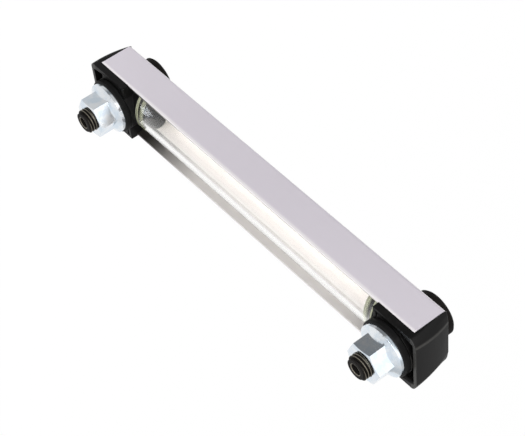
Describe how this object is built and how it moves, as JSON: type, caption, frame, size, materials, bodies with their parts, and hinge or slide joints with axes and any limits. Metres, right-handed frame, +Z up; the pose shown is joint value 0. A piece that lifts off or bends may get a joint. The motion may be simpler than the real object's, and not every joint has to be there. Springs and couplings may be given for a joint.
{
  "type": "tank level gauge",
  "caption": "Oil tank level gauge with a clear oval sight tube in a folded sheet shroud, black end blocks, and hollow bolts with flange nuts.",
  "frame": {"origin": "midway between the two bolts, on the tank wall plane that the rubber seals bear on", "axes": "+Z up along the sight tube, +Y into the tank along the bolts, so the window faces -Y; +X to the right seen from the front"},
  "size_m": [0.034, 0.0464, 0.2334],
  "materials": {
    "sheet_metal": "satin",
    "moulded_black": "fine matte",
    "clear_plastic": "clear",
    "zinc_plate": "bright zinc plate",
    "black_steel": "black phosphate",
    "black_rubber": "matte"
  },
  "bodies": {
    "root": {"shroud": "sheet_metal", "sight_tube": "clear_plastic", "end_block_top": "moulded_black", "end_block_bottom": "moulded_black", "hollow_bolt_top": "black_steel", "hollow_bolt_bottom": "black_steel", "flange_nut_top": "zinc_plate", "flange_nut_bottom": "zinc_plate", "wall_seal_top": "black_rubber", "wall_seal_bottom": "black_rubber", "shank_ring_front_top": "black_rubber", "shank_ring_front_bottom": "black_rubber", "shank_ring_rear_top": "black_rubber", "shank_ring_rear_bottom": "black_rubber", "tube_ring_top": "black_rubber", "tube_ring_bottom": "black_rubber"}
  },
  "joints": []
}
